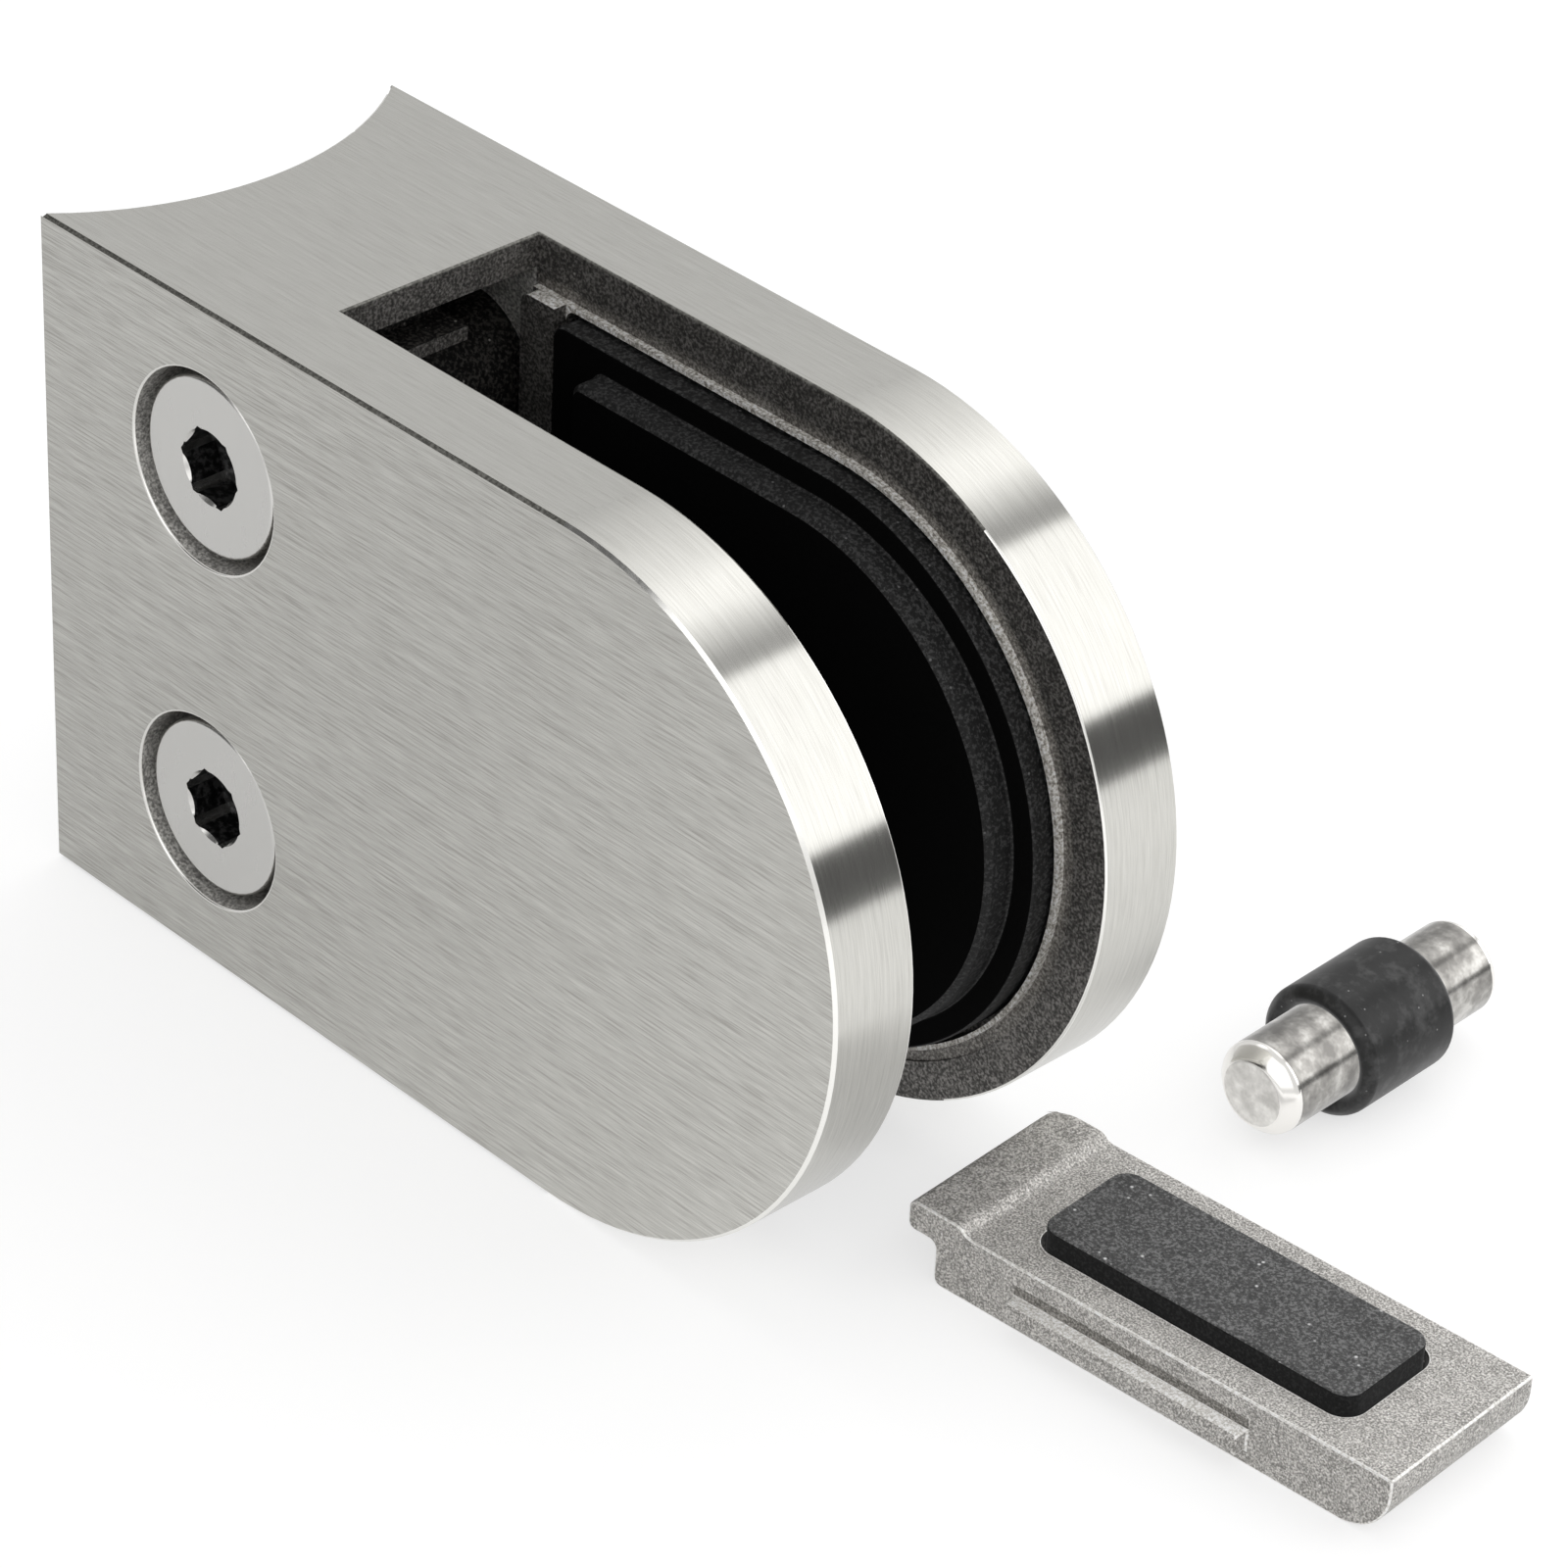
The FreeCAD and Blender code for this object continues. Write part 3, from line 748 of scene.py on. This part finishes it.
casting("clamp_body", "body_casting", "clamp", [])
casting("clamp_cover", "cover_casting", "cover",
        [slot_x - edge_run_out, slot_x - 3 * edge_run_out])
for screw_node in screw_heights:
    screw(screw_node)
softened_copy("front_gasket", "front_gasket_moulded", "clamp",
              [mould_grain, gasket_face_shade], gasket_round, facing=rubber_face)
softened_copy("rear_gasket", "rear_gasket_moulded", "cover",
              [mould_grain, gasket_face_shade], gasket_round, facing=rubber_face)
turned_pin("safety_pin")
softened_copy("pin_sleeve", "pin_sleeve_moulded", "clamp", [sleeve_rubber],
              sleeve_round, sharper_than=30)
cast_plate("safety_plate")
softened_copy("plate_pad", "plate_pad_cut", "clamp", [pad_top_light, pad_side_shade],
              pad_round, sharper_than=60, facing=pad_face)

# The photograph's clamp doesn't mirror the loose pieces, which were lit apart from it
for loose in ("safety_pin_turned", "pin_sleeve_moulded", "safety_plate_cast", "plate_pad_cut"):
    bpy.data.objects[loose].visible_glossy = False


# Camera: place and turn found by fitting the clamp's own edges to the photograph
camera_place = Vector((243.396, -199.313, 208.835)) * MM
camera_forward = Vector((-0.59007752, 0.59322776, -0.54762153))
camera_right = Vector((0.68852149, 0.72397721, 0.04236927))
camera_up = camera_right.cross(camera_forward)


# Studio

# Light behind the clamp, as its brushed round end shows it: a long soft box, a gap, a bright
# box and the dark wall at table height. Each stop is a turn of the end's face from straight
# up, in degrees, with the level that is mirrored there.
end_lights = [(-30, 0.7), (-2, 0.76), (6, 1.05), (14, 1.42), (19, 1.78), (23, 1.78),
              (30.5, 0.58), (33.2, 0.5), (33.8, 1.8), (61, 1.95), (61.6, 0.1), (71.2, 0.09),
              (71.8, 1.2), (115, 0.8)]
brightest = 2.0
# Other panels of the tent: azimuth from +Y towards +X and elevation, both in degrees, with
# the softness of the edges and the level
tent_level = 0.8
# Where the light behind the clamp takes over from the tent, as a share of +Y
behind_from = 0.15
behind_full = 0.42
tent_panels = [
    ("left_side_light", -104, -66, 46, 66, 6, 1.6),
    ("dark_room", -163, -114, 6, 60, 4, 0.12),
    ("camera_side_light", 118, 181, 10, 58, 6, 1.5),
    ("camera_side_light_end", -181, -168, 10, 58, 3, 1.5),
]


def studio_world():
    """A light tent: plain light grey with bright soft boxes and dark gaps between them."""
    world = bpy.data.worlds.new("light_tent")
    bpy.context.scene.world = world
    world.use_nodes = True
    tree = world.node_tree
    tree.nodes.clear()
    direction = add(tree, "ShaderNodeTexCoord").outputs["Generated"]
    parts = add(tree, "ShaderNodeSeparateXYZ", {"Vector": direction})
    x, y, z = (parts.outputs[axis] for axis in "XYZ")
    elevation = add(tree, "ShaderNodeMath", {0: z}, operation="ARCSINE").outputs[0]
    azimuth = add(tree, "ShaderNodeMath", {0: x, 1: y}, operation="ARCTAN2").outputs[0]

    def edge(value, start, stop):
        """0 before start, 1 after stop, smooth between them."""
        step = add(tree, "ShaderNodeMapRange",
                   {"Value": value, "From Min": start, "From Max": stop},
                   interpolation_type="SMOOTHSTEP")
        return step.outputs["Result"]

    def between(value, low, high, soft):
        low, high, soft = (math.radians(angle) for angle in (low, high, soft))
        return times(edge(value, low - soft, low + soft), edge(value, high + soft, high - soft))

    def times(a, b):
        return add(tree, "ShaderNodeMath", {0: a, 1: b}, operation="MULTIPLY").outputs[0]

    def mixed(mask, before, after):
        mix = add(tree, "ShaderNodeMix", {0: mask, 2: before, 3: after}, data_type="FLOAT")
        return mix.outputs[0]

    half_way = add(tree, "ShaderNodeVectorMath", {0: direction, 1: camera_forward},
                   operation="SUBTRACT")
    half_parts = add(tree, "ShaderNodeSeparateXYZ", {"Vector": half_way.outputs[0]})
    turn = add(tree, "ShaderNodeMath", {0: half_parts.outputs["X"], 1: half_parts.outputs["Z"]},
               operation="ARCTAN2").outputs[0]
    first, last = (math.radians(end_lights[index][0]) for index in (0, -1))
    along = add(tree, "ShaderNodeMapRange", {"Value": turn, "From Min": first, "From Max": last})
    strip = add(tree, "ShaderNodeValToRGB", {"Fac": along.outputs["Result"]})
    stops = strip.color_ramp.elements
    while len(stops) < len(end_lights):
        stops.new(0.5)
    for stop, (angle, level) in zip(stops, end_lights):
        stop.position = (math.radians(angle) - first) / (last - first)
        stop.color = (level / brightest, level / brightest, level / brightest, 1)
    behind = times(strip.outputs["Color"], brightest)

    level = mixed(edge(y, behind_from, behind_full), tent_level, behind)
    for name, low_az, high_az, low_el, high_el, soft, strength in tent_panels:
        panel = times(between(azimuth, low_az, high_az, soft),
                      between(elevation, low_el, high_el, soft))
        level = mixed(panel, level, strength)
    path = add(tree, "ShaderNodeLightPath")
    tent = add(tree, "ShaderNodeBackground", {"Color": linear("FFFFFF"), "Strength": level})
    white = add(tree, "ShaderNodeBackground", {"Color": linear("FFFFFF"), "Strength": 1.0})
    seen = add(tree, "ShaderNodeMixShader", {0: path.outputs["Is Camera Ray"],
                                             1: tent.outputs[0], 2: white.outputs[0]})
    add(tree, "ShaderNodeOutputWorld", {"Surface": seen.outputs[0]})


studio_world()

floor_radius = 320 * MM
# A hair below the clamp, so that the two flat faces don't mix
floor_middle = (30 * MM, 5 * MM, -0.02 * MM)
# How bright the floor is beyond its lit paper, where the camera sees it, and the painted glow that
# metal mirrors: less at the clamp's post end than at its round end
floor_glow = 0.64
mirrored_reach = (-10 * MM, 110 * MM)
mirrored_glow = (0.35, 0.82)


def floor():
    """The pale floor that the clamp stands on."""
    bm = bmesh.new()
    bmesh.ops.create_circle(bm, cap_ends=True, segments=96, radius=floor_radius)
    bmesh.ops.translate(bm, verts=bm.verts, vec=floor_middle)
    mesh = bpy.data.meshes.new("floor")
    bm.to_mesh(mesh)
    bm.free()
    ground = bpy.data.objects.new("floor", mesh)
    bpy.context.scene.collection.objects.link(ground)
    material, tree, output = new_material("pale_paper")
    paper = add(tree, "ShaderNodeBsdfDiffuse", {"Color": linear("ACACAC")})
    path = add(tree, "ShaderNodeLightPath")
    mirrored = add(tree, "ShaderNodeMath", {0: path.outputs["Is Glossy Ray"],
                                            1: path.outputs["Is Transmission Ray"]},
                   operation="MAXIMUM")
    place = add(tree, "ShaderNodeSeparateXYZ", {
        "Vector": add(tree, "ShaderNodeTexCoord").outputs["Object"]})
    painted_glow_along_x = add(tree, "ShaderNodeMapRange", {
        "Value": place.outputs["X"],
        "From Min": mirrored_reach[0], "From Max": mirrored_reach[1],
        "To Min": mirrored_glow[0], "To Max": mirrored_glow[1]})
    # The floor glows for mirrored rays only: a painted reflection in the metal
    mirror_glow = add(tree, "ShaderNodeMath", {0: mirrored.outputs[0],
                                               1: painted_glow_along_x.outputs["Result"]},
                      operation="MULTIPLY")
    strength = add(tree, "ShaderNodeMath", {0: path.outputs["Is Camera Ray"], 1: floor_glow,
                                            2: mirror_glow.outputs[0]},
                   operation="MULTIPLY_ADD")
    glow = add(tree, "ShaderNodeEmission", {"Color": linear("FFFFFF"),
                                            "Strength": strength.outputs[0]})
    paper_and_glow = add(tree, "ShaderNodeAddShader", {0: paper.outputs[0], 1: glow.outputs[0]})
    # Seen from below, the floor is clear and shows the clamp's underside
    clear = add(tree, "ShaderNodeBsdfTransparent")
    from_below = add(tree, "ShaderNodeNewGeometry").outputs["Backfacing"]
    one_sided = add(tree, "ShaderNodeMixShader", {0: from_below, 1: paper_and_glow.outputs[0],
                                                  2: clear.outputs[0]})
    tree.links.new(one_sided.outputs[0], output.inputs["Surface"])
    mesh.materials.append(material)


floor()


def photograph_camera():
    data = bpy.data.cameras.new("camera")
    data.sensor_width = 36.0
    data.lens = 137.04
    data.clip_start = 0.01
    camera = bpy.data.objects.new("camera", data)
    bpy.context.scene.collection.objects.link(camera)
    turn = Matrix((camera_right, camera_up, -camera_forward)).transposed().to_4x4()
    camera.matrix_world = Matrix.Translation(camera_place) @ turn
    bpy.context.scene.camera = camera


photograph_camera()
bpy.context.scene.view_settings.view_transform = "Standard"
